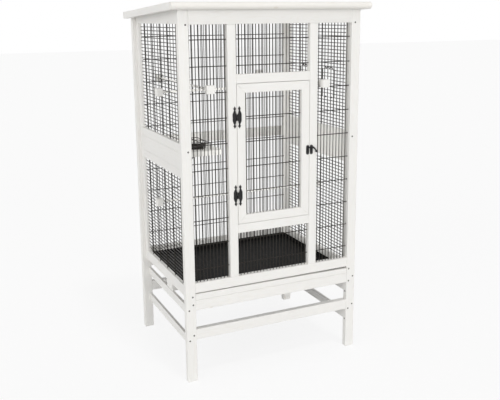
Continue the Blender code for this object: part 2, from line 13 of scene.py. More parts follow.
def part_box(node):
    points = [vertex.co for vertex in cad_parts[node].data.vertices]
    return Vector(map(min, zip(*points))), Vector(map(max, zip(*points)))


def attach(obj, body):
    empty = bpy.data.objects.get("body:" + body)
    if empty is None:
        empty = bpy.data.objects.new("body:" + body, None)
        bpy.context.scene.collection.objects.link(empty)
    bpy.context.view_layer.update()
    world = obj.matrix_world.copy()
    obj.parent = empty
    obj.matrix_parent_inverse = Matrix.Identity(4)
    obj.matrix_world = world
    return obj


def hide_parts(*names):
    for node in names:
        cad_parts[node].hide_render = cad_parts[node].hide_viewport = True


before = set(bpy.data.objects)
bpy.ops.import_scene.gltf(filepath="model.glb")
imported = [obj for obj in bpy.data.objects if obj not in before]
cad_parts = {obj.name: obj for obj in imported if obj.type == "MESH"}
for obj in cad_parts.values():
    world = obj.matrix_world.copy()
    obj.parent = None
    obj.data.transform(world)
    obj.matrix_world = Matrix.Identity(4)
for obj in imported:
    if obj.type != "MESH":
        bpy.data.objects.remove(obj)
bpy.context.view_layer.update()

bl_info = {
    "name": "Wooden aviary",
    "version": (1, 0, 0),
    "blender": (4, 5, 0),
    "location": "3D View > Sidebar > Aviary",
    "description": "Finishes, wire mesh and fittings of a wooden indoor aviary",
    "category": "Add Mesh",
}

# The corner posts' outer faces give the cage its left and its front
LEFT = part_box("post_front_left")[0].x
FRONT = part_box("post_front_left")[0].y


def colour_property(label, note, value):
    return FloatVectorProperty(name=label, description=note, subtype="COLOR", size=3, min=0.0, max=1.0,
                               default=value)


def length_property(label, note, value):
    return FloatProperty(name=label, description=note, default=value, min=0.0, unit="LENGTH")


class AviaryColours(bpy.types.PropertyGroup):
    """Base colours of the finishes."""

    paint: colour_property("Paint", "White satin paint of the frame", (0.84, 0.83, 0.805))
    moulding: colour_property("Moulding", "Paint of the roof's front moulding", (0.85, 0.83, 0.79))
    knot: colour_property("Knot", "Knots that show through the paint", (0.60, 0.53, 0.43))
    wire: colour_property("Wire", "Black coating of the welded wire", (0.012, 0.009, 0.006))
    iron: colour_property("Iron", "Black stoved hinges and latch", (0.006, 0.006, 0.007))
    tray: colour_property("Tray", "Matt black tray", (0.007, 0.007, 0.007))
    dish: colour_property("Dish", "Glossy black dish", (0.012, 0.012, 0.013))
    screw: colour_property("Screw", "Dull plated screws", (0.10, 0.095, 0.09))
    floor: colour_property("Floor", "Floor of the stage", (0.94, 0.94, 0.94))


class AviarySizes(bpy.types.PropertyGroup):
    """Sizes of what the finishing work adds."""

    fine_pitch: length_property("Fine pitch", "Spacing of the close-set wires", 0.015)
    wide_pitch: length_property("Wide pitch", "Spacing of the wires that carry them", 0.1015)
    fine_wire: length_property("Fine wire", "Thickness of the close-set wires", 0.0034)
    wide_wire: length_property("Wide wire", "Thickness of the carrying wires", 0.0036)
    hatch_wire: length_property("Hatch wire", "Thickness of the close-set wires of a hatch", 0.0026)
    hatch_border: length_property("Hatch border", "Thickness of the wire round a hatch", 0.0031)
    eased: length_property("Eased edge", "Rounding of the boards' edges", 0.0015)
    screw_head: length_property("Screw head", "Width of a screw's head", 0.0072)
    perch_rod: length_property("Perch rod", "Thickness of a perch", 0.010)
    perch_block: length_property("Perch block", "Depth of the block at a perch's end", 0.026)


def sizes():
    return bpy.context.scene.aviary_sizes


def colours():
    return bpy.context.scene.aviary_colours


# Finishes

class Finish:
    """A Principled material with short ways to add nodes to it."""

    def __init__(self, name, colour, roughness, metallic=0.0, gloss=0.5):
        self.material = bpy.data.materials.new(name)
        self.material.use_nodes = True
        self.tree = self.material.node_tree
        self.shader = self.tree.nodes["Principled BSDF"]
        self.shader.inputs["Base Color"].default_value = (*colour, 1.0)
        self.shader.inputs["Roughness"].default_value = roughness
        self.shader.inputs["Metallic"].default_value = metallic
        self.shader.inputs["Specular IOR Level"].default_value = gloss
        self.place = self.add("ShaderNodeTexCoord").outputs["Object"]

    def add(self, kind, inputs=None, **options):
        made = self.tree.nodes.new(kind)
        for name, value in options.items():
            setattr(made, name, value)
        for name, value in (inputs or {}).items():
            self.set(made.inputs[name], value)
        return made

    def set(self, socket, value):
        if isinstance(value, bpy.types.NodeSocket):
            self.tree.links.new(value, socket)
        else:
            socket.default_value = value

    def mapped(self, scale=(1.0, 1.0, 1.0)):
        return self.add("ShaderNodeMapping", {"Vector": self.place, "Scale": scale}).outputs[0]

    def noise(self, vector, scale, detail=2.0, distortion=0.0):
        inputs = {"Vector": vector, "Scale": scale, "Detail": detail, "Distortion": distortion}
        return self.add("ShaderNodeTexNoise", inputs).outputs[0]

    def calc(self, operation, *values):
        return self.add("ShaderNodeMath", dict(enumerate(values)), operation=operation).outputs[0]

    def span(self, value, low, high, to_low=0.0, to_high=1.0):
        inputs = {"Value": value, "From Min": low, "From Max": high, "To Min": to_low, "To Max": to_high}
        return self.add("ShaderNodeMapRange", inputs, interpolation_type="SMOOTHSTEP").outputs[0]

    def blend(self, factor, low, high):
        """Mix two colours, given as triples or as sockets."""
        low, high = ((*c, 1.0) if not isinstance(c, bpy.types.NodeSocket) else c for c in (low, high))
        return self.add("ShaderNodeMix", {0: factor, 6: low, 7: high}, data_type="RGBA").outputs[2]

    def colour(self, value):
        self.set(self.shader.inputs["Base Color"], value)

    def roughness(self, value):
        self.set(self.shader.inputs["Roughness"], value)

    def bump(self, height, strength, depth):
        made = self.add("ShaderNodeBump", {"Height": height, "Strength": strength, "Distance": depth})
        self.set(self.shader.inputs["Normal"], made.outputs[0])


def shaded(colour, share):
    return tuple(part * share for part in colour)


def painted_wood(name, paint, along):
    """Thin satin paint over pine: growth lines and a few knots show along the grain's axis."""
    finish = Finish(name, paint, 0.42)
    stretch = [1.0, 1.0, 1.0]
    stretch["xyz".index(along)] = 0.05
    grain_place = finish.mapped(stretch)
    growth = finish.noise(grain_place, 46.0, 2.0, 0.5)
    lines = finish.span(finish.calc("SINE", finish.calc("MULTIPLY", growth, 75.0)), 0.1, 1.0)
    fibres = finish.noise(grain_place, 900.0, 3.0)
    brushed = finish.noise(finish.mapped(), 9.0, 3.0)
    stretch["xyz".index(along)] = 0.55
    knots = finish.add("ShaderNodeTexVoronoi", {"Vector": finish.mapped(stretch), "Scale": 13.0})
    parts = finish.add("ShaderNodeSeparateColor", {"Color": knots.outputs["Color"]})
    chosen = finish.calc("GREATER_THAN", parts.outputs[0], 0.72)
    ringed = finish.calc("ADD", knots.outputs["Distance"], finish.calc("MULTIPLY", fibres, 0.02))
    knot = finish.calc("MULTIPLY", finish.span(ringed, 0.125, 0.06), chosen)
    warm = tuple(part * share for part, share in zip(paint, (0.955, 0.94, 0.91)))
    worn = finish.blend(finish.calc("MULTIPLY", lines, 0.42), paint, warm)
    worn = finish.blend(finish.calc("MULTIPLY", fibres, 0.16), worn, shaded(warm, 0.95))
    worn = finish.blend(finish.span(brushed, 0.42, 0.75, 0.0, 0.30), worn, shaded(paint, 0.965))
    finish.colour(finish.blend(finish.calc("MULTIPLY", knot, 0.34), worn, colours().knot))
    raised = finish.calc("MULTIPLY", fibres, 0.5)
    sunk = finish.calc("MULTIPLY", lines, 0.35)
    relief = finish.calc("SUBTRACT", raised, sunk)
    finish.bump(finish.calc("SUBTRACT", relief, finish.calc("MULTIPLY", knot, 0.4)), 0.35, 0.0004)
    finish.roughness(finish.span(brushed, 0.3, 0.8, 0.38, 0.48))
    return finish.material


def coated_wire():
    """Black dipped wire, a little uneven where the coating ran."""
    finish = Finish("wire_coating", colours().wire, 0.36, 0.0, 0.32)
    runs = finish.noise(finish.mapped(), 260.0, 3.0)
    finish.colour(finish.blend(finish.span(runs, 0.4, 0.75), colours().wire, shaded(colours().wire, 2.1)))
    finish.bump(runs, 0.3, 0.0002)
    return finish.material


def stoved_iron():
    """Cast black fittings with a fine pebbled skin."""
    finish = Finish("stoved_iron", colours().iron, 0.46, 0.0, 0.3)
    pebbles = finish.noise(finish.mapped(), 1400.0, 2.0)
    rubbed = finish.noise(finish.mapped(), 120.0, 2.0)
    finish.colour(finish.blend(finish.span(rubbed, 0.5, 0.8), colours().iron, shaded(colours().iron, 2.6)))
    finish.bump(pebbles, 0.5, 0.0002)
    return finish.material


def tray_plastic():
    """Matt black sheet with a fine grain and light scuffs along its length."""
    finish = Finish("tray_sheet", colours().tray, 0.7, 0.0, 0.08)
    grain = finish.noise(finish.mapped(), 700.0, 2.0)
    scuffs = finish.noise(finish.mapped((5.0, 1.0, 1.0)), 24.0, 4.0)
    finish.colour(finish.blend(finish.span(scuffs, 0.52, 0.8, 0.0, 0.6), colours().tray,
                               shaded(colours().tray, 2.2)))
    finish.bump(grain, 0.4, 0.0002)
    finish.roughness(finish.span(scuffs, 0.3, 0.8, 0.55, 0.68))
    return finish.material


def dish_glaze():
    """Smooth glossy black with a faint dust."""
    finish = Finish("dish_glaze", colours().dish, 0.18)
    dust = finish.noise(finish.mapped(), 90.0, 5.0)
    finish.roughness(finish.span(dust, 0.35, 0.8, 0.15, 0.30))
    finish.colour(finish.blend(finish.span(dust, 0.5, 0.8, 0.0, 0.5), colours().dish,
                               shaded(colours().dish, 3.0)))
    return finish.material


def screw_plating():
    """Dull grey plating, darker in patches."""
    finish = Finish("screw_plating", colours().screw, 0.42, 0.85)
    patches = finish.noise(finish.mapped(), 900.0, 3.0)
    finish.colour(finish.blend(finish.span(patches, 0.4, 0.7), colours().screw,
                               shaded(colours().screw, 0.5)))
    return finish.material


FINISHES = {}
MAKERS = {
    "paint_x": lambda: painted_wood("paint_along_x", colours().paint, "x"),
    "paint_y": lambda: painted_wood("paint_along_y", colours().paint, "y"),
    "paint_z": lambda: painted_wood("paint_along_z", colours().paint, "z"),
    "moulding": lambda: painted_wood("moulding_paint", colours().moulding, "x"),
    "wire": coated_wire,
    "iron": stoved_iron,
    "tray": tray_plastic,
    "dish": dish_glaze,
    "screw": screw_plating,
}


def finish_named(name):
    """Each finish is made once, when it is first asked for."""
    if name not in FINISHES:
        FINISHES[name] = MAKERS[name]()
    return FINISHES[name]


def dress(node, finish):
    """Give a carried-over node its finish."""
    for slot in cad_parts[node].material_slots:
        slot.material = finish_named(finish)


# Shapes

# Smallest angles, in degrees, that keep an edge crisp: on flat boards, on turned fittings and on wire
FLAT = 15.0
TURNED = 35.0
ROUND = 60.0
# Points closer than these become one, in a bent wire and in a spun shape
WIRE_MERGE = 0.000001
SPUN_MERGE = 0.000002


def piece(name, bm, body, slot, *finishes, replaced=(), sharp=TURNED):
    """Turn a bmesh into a finished piece that rides on a body."""
    mesh = bpy.data.meshes.new(name)
    bm.to_mesh(mesh)
    bm.free()
    for finish in finishes:
        mesh.materials.append(finish_named(finish))
    mesh.shade_smooth()
    mesh.set_sharp_from_angle(angle=math.radians(sharp))
    obj = bpy.data.objects.new(name, mesh)
    bpy.context.scene.collection.objects.link(obj)
    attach(obj, body)
    if replaced:
        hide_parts(*replaced)


def bar(bm, start, end, radius, sides=8):
    """A round bar between two points, closed at both ends."""
    start, end = Vector(start), Vector(end)
    turn = (end - start).to_track_quat("Z", "Y").to_matrix().to_4x4()
    place = Matrix.Translation((start + end) / 2) @ turn
    bmesh.ops.create_cone(bm, cap_ends=True, segments=sides, radius1=radius, radius2=radius,
                          depth=(end - start).length, matrix=place)


def bent_wire(bm, points, radius, closed=False):
    """A round wire that follows a line of points."""
    curve = bpy.data.curves.new("bent_wire", "CURVE")
    curve.dimensions = "3D"
    curve.bevel_depth = radius
    curve.bevel_resolution = 2
    curve.use_fill_caps = not closed
    spline = curve.splines.new("POLY")
    spline.points.add(len(points) - 1)
    for point, place in zip(spline.points, points):
        point.co = (*place, 1.0)
    spline.use_cyclic_u = closed
    guide = bpy.data.objects.new("bent_wire", curve)
    mesh = bpy.data.meshes.new_from_object(guide)
    count = len(bm.verts)
    bm.from_mesh(mesh)
    bm.verts.ensure_lookup_table()
    bmesh.ops.remove_doubles(bm, verts=bm.verts[count:], dist=WIRE_MERGE)
    bpy.data.objects.remove(guide)
    bpy.data.curves.remove(curve)
    bpy.data.meshes.remove(mesh)


def board(bm, low, high, eased=None, material=0):
    """A board between two corners with eased edges."""
    low, high = Vector(low), Vector(high)
    made = bmesh.ops.create_cube(bm, size=1.0)["verts"]
    bmesh.ops.scale(bm, verts=made, vec=high - low)
    bmesh.ops.translate(bm, verts=made, vec=(low + high) / 2)
    ease(bm, made, eased, material)


def ease(bm, verts, eased=None, material=0):
    """Round the edges of a convex block that these corners make."""
    edges = list({edge for vert in verts for edge in vert.link_edges})
    before = set(bm.faces)
    blocks = {face for vert in verts for face in vert.link_faces}
    bmesh.ops.bevel(bm, geom=edges, offset=eased or sizes().eased, segments=2, profile=0.5,
                    affect="EDGES", material=-1)
    for face in bm.faces:
        if face not in before or face in blocks:
            face.material_index = material


def stamp(bm, mesh, places):
    """Copies of one small mesh, one at each place."""
    for place in places:
        count = len(bm.verts)
        bm.from_mesh(mesh)
        bm.verts.ensure_lookup_table()
        bmesh.ops.transform(bm, matrix=place, verts=bm.verts[count:])


def steps(phase, pitch, low, high, margin):
    """Positions at a pitch through phase that keep a margin inside low and high."""
    first = math.ceil((low + margin - phase) / pitch)
    last = math.floor((high - margin - phase) / pitch)
    return [phase + pitch * k for k in range(first, last + 1)]


def under_roof(y):
    """Height of the roof board's underside, from the tops of a front and a back post."""
    front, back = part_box("post_front_left"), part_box("post_back_left")
    slope = (front[1].z - back[1].z) / (back[0].y - front[0].y)
    return front[1].z - slope * (y - front[0].y)


def lath_width():
    """Width of the laths that frame the walls and the door."""
    low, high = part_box("mullion_left")
    return high.x - low.x


# Wood

# The boards that are only painted, by the way their grain runs
GRAIN = {
    "paint_z": ("post_front_left", "post_front_right", "post_back_left", "post_back_right",
                "mullion_left", "mullion_right"),
    "paint_x": ("front_header", "front_bottom_rail", "front_transom", "door_sill_rail", "back_top_rail",
                "back_mid_rail", "back_bottom_rail", "stand_rail_front", "stand_rail_back",
                "stretcher_front", "stretcher_back", "tray_front_board"),
    "paint_y": ("side_mid_board_left", "side_mid_board_right", "stand_rail_left", "stand_rail_right",
                "stretcher_left", "stretcher_right", "tray_runner_left", "tray_runner_right",
                "roof_panel"),
    "moulding": ("roof_nosing",),
}
SIDE_FRAMES = ("side_frame_upper_left", "side_frame_upper_right",
               "side_frame_lower_left", "side_frame_lower_right")
# How far a board keeps from the one it meets, so that the joint shows as a fine line
JOINT = 0.00015
# Rounding of the door's members, and how near a mitre's cut a point counts as on it
DOOR_EASED = 0.0009
CUT_NEAR = 0.00001


def dress_boards():
    for finish, nodes in GRAIN.items():
        for node in nodes:
            dress(node, finish)


def build_side_frames():
    """Each side frame as two stiles with two rails between them."""
    lath = lath_width()
    for node in SIDE_FRAMES:
        low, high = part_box(node)
        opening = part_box("side_wire_upper_left" if "upper" in node else "side_wire_lower_left")
        bm = bmesh.new()
        for y0, y1 in ((low.y, low.y + lath), (high.y - lath, high.y)):
            board(bm, (low.x, y0, low.z), (high.x, y1, high.z), material=0)
        y0, y1 = low.y + lath + JOINT, high.y - lath - JOINT
        for z0, z1 in ((low.z, opening[0].z), (opening[1].z, high.z)):
            board(bm, (low.x, y0, z0), (high.x, y1, z1), material=1)
        if "upper" in node:
            for vert in bm.verts:
                vert.co.z = min(vert.co.z, under_roof(vert.co.y) - JOINT)
        piece(node + "_boards", bm, "cage", "white_paint", "paint_z", "paint_y", replaced=[node],
              sharp=FLAT)


def mitred(bm, corner, across):
    """Cut a board's end off on one side of a plane and close the cut."""
    geom = bm.verts[:] + bm.edges[:] + bm.faces[:]
    cut = bmesh.ops.bisect_plane(bm, geom=geom, dist=CUT_NEAR, plane_co=corner, plane_no=across,
                                 clear_outer=True)
    rim = [item for item in cut["geom_cut"] if isinstance(item, bmesh.types.BMEdge)]
    bmesh.ops.holes_fill(bm, edges=rim)


def build_door_frame():
    """Four mitred members with a fine line at each mitre."""
    low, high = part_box("door_frame")
    lath = lath_width()
    middle = (low + high) / 2
    members = (
        (0, (low.x, low.z), (high.x, low.z + lath)),
        (0, (low.x, high.z - lath), (high.x, high.z)),
        (1, (low.x, low.z), (low.x + lath, high.z)),
        (1, (high.x - lath, low.z), (high.x, high.z)),
    )
    whole = bmesh.new()
    for finish, (x0, z0), (x1, z1) in members:
        bm = bmesh.new()
        made = bmesh.ops.create_cube(bm, size=1.0)["verts"]
        centre = Vector(((x0 + x1) / 2, middle.y, (z0 + z1) / 2))
        bmesh.ops.scale(bm, verts=made, vec=(x1 - x0, high.y - low.y, z1 - z0))
        bmesh.ops.translate(bm, verts=made, vec=centre)
        for x in (x0, x1):
            for z in (z0, z1):
                if x in (low.x, high.x) and z in (low.z, high.z):
                    inward = Vector((math.copysign(1, middle.x - x), 0, math.copysign(1, middle.z - z)))
                    across = Vector((inward.z, 0, -inward.x)).normalized()
                    if across.dot(centre - Vector((x, middle.y, z))) > 0:
                        across.negate()
                    mitred(bm, Vector((x, 0, z)) - across * JOINT, across)
        ease(bm, bm.verts[:], DOOR_EASED)
        bmesh.ops.recalc_face_normals(bm, faces=bm.faces)
        mesh = bpy.data.meshes.new("member")
        for face in bm.faces:
            face.material_index = finish
        bm.to_mesh(mesh)
        bm.free()
        whole.from_mesh(mesh)
        bpy.data.meshes.remove(mesh)
    piece("door_frame_members", whole, "door", "white_paint", "paint_x", "paint_z",
          replaced=["door_frame"], sharp=FLAT)


# Wire

# Where one close-set and one carrying wire lie, from which the others follow at the pitch
FINE_X = LEFT + 0.1285
FINE_Z = 1.1805
WIDE_Z = 1.3910
WIDE_Y = {"left": FRONT + 0.1968, "right": FRONT + 0.1650}
# The least distance between a wire and the edge of its panel
FINE_MARGIN = 0.003
WIDE_MARGIN = 0.005
HATCH_MARGIN = 0.004
# How far a wire's end reaches past its panel, and how far two wires sink into each other at a weld
SEAT = 0.0015
WELD = 0.0001
# The front and back wire panels, by the body they ride on
FLAT_WALLS = {"front_wire_left": "cage", "front_wire_right": "cage", "front_wire_top": "cage",
              "front_wire_bottom": "cage", "door_wire": "door", "back_wire": "cage"}


def layer_gap():
    """Distance between the planes of the two welded layers of wire."""
    return (sizes().fine_wire + sizes().wide_wire) / 2 - WELD


def build_flat_wall(node, body):
    """A front or back wall: close upright wires, with carrying wires behind them."""
    low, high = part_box(node)
    fine_y = (low.y + high.y) / 2
    wide_y = fine_y + layer_gap() * (-1 if node == "back_wire" else 1)
    bm = bmesh.new()
    for x in steps(FINE_X, sizes().fine_pitch, low.x, high.x, FINE_MARGIN):
        bar(bm, (x, fine_y, low.z - SEAT), (x, fine_y, high.z + SEAT), sizes().fine_wire / 2)
    for z in steps(WIDE_Z, sizes().wide_pitch, low.z, high.z, WIDE_MARGIN):
        bar(bm, (low.x - SEAT, wide_y, z), (high.x + SEAT, wide_y, z), sizes().wide_wire / 2)
    piece(node + "_mesh", bm, body, "wire_black", "wire", replaced=[node], sharp=ROUND)


def past_hatches(z, whole):
    """The stretches along Y that a close-set wire at this height keeps beside the hatch holes."""
    kept = [whole]
    half = sizes().wide_pitch / 2
    for name in ("hatch_front", "hatch_rear"):
        low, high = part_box(name)
        if low.z < z < high.z:
            middle = (low.y + high.y) / 2
            parts = [((y0, min(y1, middle - half)), (max(y0, middle + half), y1)) for y0, y1 in kept]
            kept = [part for pair in parts for part in pair if part[1] > part[0]]
    return kept


def build_side_wall(node, side):
    """A side wall: upright carrying wires outside, with close level wires behind them."""
    low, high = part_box(node)
    wide_x = (low.x + high.x) / 2
    fine_x = wide_x + layer_gap() * (1 if side == "left" else -1)
    whole = (low.y - SEAT, high.y + SEAT)
    bm = bmesh.new()
    for z in steps(FINE_Z, sizes().fine_pitch, low.z, high.z, FINE_MARGIN):
        for y0, y1 in (past_hatches(z, whole) if side == "right" else [whole]):
            bar(bm, (fine_x, y0, z), (fine_x, y1, z), sizes().fine_wire / 2)
    for y in steps(WIDE_Y[side], sizes().wide_pitch, low.y, high.y, WIDE_MARGIN):
        bar(bm, (wide_x, y, low.z - SEAT), (wide_x, y, high.z + SEAT), sizes().wide_wire / 2)
    piece(node + "_mesh", bm, "cage", "wire_black", "wire", replaced=[node], sharp=ROUND)


def build_wire_walls():
    for node, body in FLAT_WALLS.items():
        build_flat_wall(node, body)
    for side in ("left", "right"):
        for level in ("upper", "lower"):
            build_side_wall(f"side_wire_{level}_{side}", side)


# Hatches

# A spring catch: half its length, half its waves' height, how many waves, and how far the waves' middle
# line is raised, in half heights
CATCH_REACH = 0.033
CATCH_RISE = 0.0048
CATCH_WAVES = 2.5
CATCH_LIFT = 1.6
CATCH_STEPS = 40
# A pivot coil: its turns, its length, its wire's radius, and how far its wire's middle stands off the
# surface of the wire it goes round
COIL_TURNS = 4
COIL_LONG = 0.011
COIL_WIRE = 0.0009
COIL_OFF = 0.0010
COIL_STEPS = 12
# How far a coil's middle is from the hatch's corner
COIL_IN = 0.026


def hatch_catch(bm, x, y, z):
    """A springy wavy wire over a hatch's upper edge, hooked down at both ends."""
    points = [(x, y - CATCH_REACH, z)]
    for k in range(CATCH_STEPS + 1):
        across = 2 * k / CATCH_STEPS - 1
        rise = CATCH_RISE * (CATCH_LIFT + math.sin(CATCH_WAVES * math.pi * across))
        points.append((x, y + CATCH_REACH * across, z + rise))
    points.append((x, y + CATCH_REACH, z))
    bent_wire(bm, points, sizes().wide_wire / 2)


def pivot_coil(bm, x, y, z):
    """Close turns of wire round a hatch's lower edge, where it pivots."""
    radius = sizes().hatch_border / 2 + COIL_OFF
    count = COIL_TURNS * COIL_STEPS
    points = []
    for k in range(count + 1):
        turn = 2 * math.pi * k / COIL_STEPS
        points.append((x + radius * math.cos(turn), y + COIL_LONG * (k / count - 0.5),
                       z + radius * math.sin(turn)))
    bent_wire(bm, points, COIL_WIRE)


def build_hatches():
    """Wire flaps outside the right wall, each with a spring catch above and coils at its pivot."""
    radius = sizes().hatch_border / 2
    for name in ("front", "rear"):
        low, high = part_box("hatch_" + name)
        x = (low.x + high.x) / 2
        y0, y1 = low.y + radius, high.y - radius
        z0, z1 = low.z + radius, high.z - radius
        bm = bmesh.new()
        bent_wire(bm, [(x, y0, z0), (x, y1, z0), (x, y1, z1), (x, y0, z1)], radius, closed=True)
        for z in steps(FINE_Z, sizes().fine_pitch, z0, z1, HATCH_MARGIN):
            bar(bm, (x, y0, z), (x, y1, z), sizes().hatch_wire / 2)
        hatch_catch(bm, x + radius, (y0 + y1) / 2, z1)
        for y in (y0 + COIL_IN, y1 - COIL_IN):
            pivot_coil(bm, x, y, z0)
        piece(f"hatch_{name}_mesh", bm, name + "_hatch", "wire_black", "wire", replaced=["hatch_" + name],
              sharp=ROUND)


# Fittings

FITTINGS = ("hinge_upper_fixed_leaf", "hinge_upper_door_leaf", "hinge_lower_fixed_leaf",
            "hinge_lower_door_leaf", "latch_plate", "latch_keeper", "latch_lever")

# Screws on the front, as the distance from the cage's left face and the height
FRONT_SCREWS = ((0.029, 1.447), (0.0265, 0.966), (0.0285, 0.370), (0.030, 0.336), (0.012, 0.314),
                (0.030, 0.203), (0.012, 0.182), (0.775, 1.448), (0.772, 0.970), (0.769, 0.373),
                (0.790, 0.336), (0.769, 0.316), (0.789, 0.203), (0.769, 0.184))
# Screws on the right front post's inner face: how far behind its front, and their heights
POST_SCREW_IN = 0.012
POST_SCREW_HEIGHTS = (0.2645, 0.132)
# A screw head from its middle outwards, as shares of its half width
HEAD_PROFILE = ((0.0, 0.02), (0.26, 0.04), (0.34, 0.24), (0.60, 0.21), (0.88, 0.12), (1.0, -0.02),
                (1.0, -0.10), (0.0, -0.10))
HEAD_SIDES = 16
# The hinge leaves and latch plates that are screwed on, by the body they ride on
PLATES = {"cage": ("hinge_upper_fixed_leaf", "hinge_lower_fixed_leaf", "latch_keeper"),
          "door": ("hinge_upper_door_leaf", "hinge_lower_door_leaf", "latch_plate")}
PLATE_THICK = 0.0016
# The screws of the plates: their width as a share of the posts' screws, and how far from a plate's end
PLATE_SCREW_SHARE = 0.62
PLATE_SCREW_DROP = 0.0055
# A leaf's pointed end: how far its middle is from the leaf's edge, and its half width and half height
POINT_SIDE = 0.0090
POINT_DROP = 0.0095
POINT_HALF = (0.0064, 0.0092)
# Its front's width as a share of its back's, and how far it stands out from the leaf
POINT_TAPER = 0.86
POINT_PROUD = 0.0002


def screw_head(width):
    """A low domed head with a round socket, aimed along +Z."""
    bm = bmesh.new()
    verts = [bm.verts.new((width / 2 * out, 0.0, width / 2 * up)) for out, up in HEAD_PROFILE]
    edges = [bm.edges.new(pair) for pair in zip(verts, verts[1:])]
    bmesh.ops.spin(bm, geom=verts + edges, cent=(0, 0, 0), axis=(0, 0, 1), angle=2 * math.pi,
                   steps=HEAD_SIDES, use_merge=True)
    bmesh.ops.remove_doubles(bm, verts=bm.verts, dist=SPUN_MERGE)
    bmesh.ops.recalc_face_normals(bm, faces=bm.faces)
    mesh = bpy.data.meshes.new("screw_head")
    bm.to_mesh(mesh)
    bm.free()
    return mesh


def aimed(at, outward):
    """A place whose +Z points outward."""
    return Matrix.Translation(at) @ Vector(outward).to_track_quat("Z", "Y").to_matrix().to_4x4()


def build_screws():
    """The heads that show on the posts, on the hinges' leaves and on the latch's plates."""
    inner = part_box("post_front_right")[0].x
    places = [aimed((LEFT + x, FRONT, z), (0, -1, 0)) for x, z in FRONT_SCREWS]
    places += [aimed((inner, FRONT + POST_SCREW_IN, z), (-1, 0, 0)) for z in POST_SCREW_HEIGHTS]
    head = screw_head(sizes().screw_head)
    bm = bmesh.new()
    stamp(bm, head, places)
    piece("post_screws", bm, "cage", "iron_black", "screw")
    small = screw_head(sizes().screw_head * PLATE_SCREW_SHARE)
    for body, nodes in PLATES.items():
        bm = bmesh.new()
        for node in nodes:
            stamp(bm, small, plate_screws(node))
        piece(f"plate_screws_{body}", bm, body, "iron_black", "screw")


def point_middles(node):
    """The middles of a leaf's two pointed ends, on its front face."""
    low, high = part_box(node)
    x = low.x + POINT_SIDE if "fixed" in node else high.x - POINT_SIDE
    return [Vector((x, high.y - PLATE_THICK, z)) for z in (low.z + POINT_DROP, high.z - POINT_DROP)]


def plate_screws(node):
    """Where the screws of a leaf or of a latch plate sit, on its front face."""
    if "leaf" in node:
        return [aimed(point, (0, -1, 0)) for point in point_middles(node)]
    low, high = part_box(node)
    x = (low.x + high.x) / 2
    heights = (low.z + PLATE_SCREW_DROP, high.z - PLATE_SCREW_DROP)
    return [aimed((x, high.y - PLATE_THICK, z), (0, -1, 0)) for z in heights]


def add_point(bm, middle):
    """One diamond-shaped end, which stands out a little from the leaf's front face."""
    made = bmesh.ops.create_cone(bm, cap_ends=True, segments=4, radius1=1.0, radius2=POINT_TAPER,
                                 depth=PLATE_THICK)["verts"]
    turn = aimed(middle + Vector((0, PLATE_THICK / 2 - POINT_PROUD, 0)), (0, -1, 0))
    shape = Matrix.Diagonal((*POINT_HALF, 1.0, 1.0))
    bmesh.ops.transform(bm, matrix=turn @ shape, verts=made)


def build_points():
    """The diamond-shaped ends of the hinge leaves."""
    for body, nodes in PLATES.items():
        bm = bmesh.new()
        for node in nodes:
            if "leaf" in node:
                for middle in point_middles(node):
                    add_point(bm, middle)
        piece(f"hinge_points_{body}", bm, body, "iron_black", "iron")


def build_fittings():
    for node in FITTINGS:
        dress(node, "iron")
    build_points()
    build_screws()


# Inside

# The axis that each perch runs along, and the finish for each axis
PERCHES = {"perch_lengthways_left": 1, "perch_lengthways_right": 1, "perch_across_upper": 0,
           "perch_across_lower": 0}
PERCH_GRAIN = ("paint_x", "paint_y")
PERCH_SIDES = 32
# Rounding of the perch blocks and of the shelf
SMALL_EASED = 0.0020
# The dish from its middle outwards, as shares of the basket's half width and heights over the shelf
DISH_PROFILE = ((0.0, 0.0015), (0.62, 0.0015), (0.74, 0.003), (0.86, 0.010), (0.92, 0.0105),
                (0.92, 0.0085), (0.885, 0.0080), (0.78, 0.0015), (0.66, 0.0), (0.0, 0.0))
DISH_SIDES = 40
# The basket's rings from the top down, as shares of its half width and heights over the shelf
BASKET_RINGS = ((1.0, 0.024), (0.965, 0.014), (0.93, 0.0014))
BASKET_RIBS = 16
# Radii of the rings' wire, and of the ribs' wire as a share of it
BASKET_WIRE = 0.0013
RIB_SHARE = 0.8
# The holder over the dish: how far its sides are from the dish's right edge, where it starts and ends
# from front to back, and its wire's radius
HOLDER_IN = (0.041, 0.006)
HOLDER_SPAN = (FRONT + 0.156, FRONT + 0.312)
HOLDER_WIRE = 0.0016
# A shelf bracket: its reach from the wall, its drop there, how far it is in from the shelf's end, how far
# beyond the shelf's edge it starts, and its wire's radius
BRACKET_REACH = 0.072
BRACKET_DROP = 0.022
BRACKET_IN = 0.012
BRACKET_OUT = 0.0015
BRACKET_WIRE = 0.0024
BRACKET_STEPS = 12


def build_perches():
    """Round rods with an eased block outside the wire at both ends."""
    deep = sizes().perch_block
    for node, axis in PERCHES.items():
        low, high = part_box(node)
        bm = bmesh.new()
        start, end = (low + high) / 2, (low + high) / 2
        start[axis], end[axis] = low[axis] + deep / 2, high[axis] - deep / 2
        bar(bm, start, end, sizes().perch_rod / 2, PERCH_SIDES)
        for near, far in ((low[axis], low[axis] + deep), (high[axis] - deep, high[axis])):
            corner, opposite = low.copy(), high.copy()
            corner[axis], opposite[axis] = near, far
            board(bm, corner, opposite, SMALL_EASED)
        piece(node + "_wood", bm, "cage", "perch_wood", PERCH_GRAIN[axis], replaced=[node], sharp=FLAT)


def build_tray():
    dress("tray", "tray")


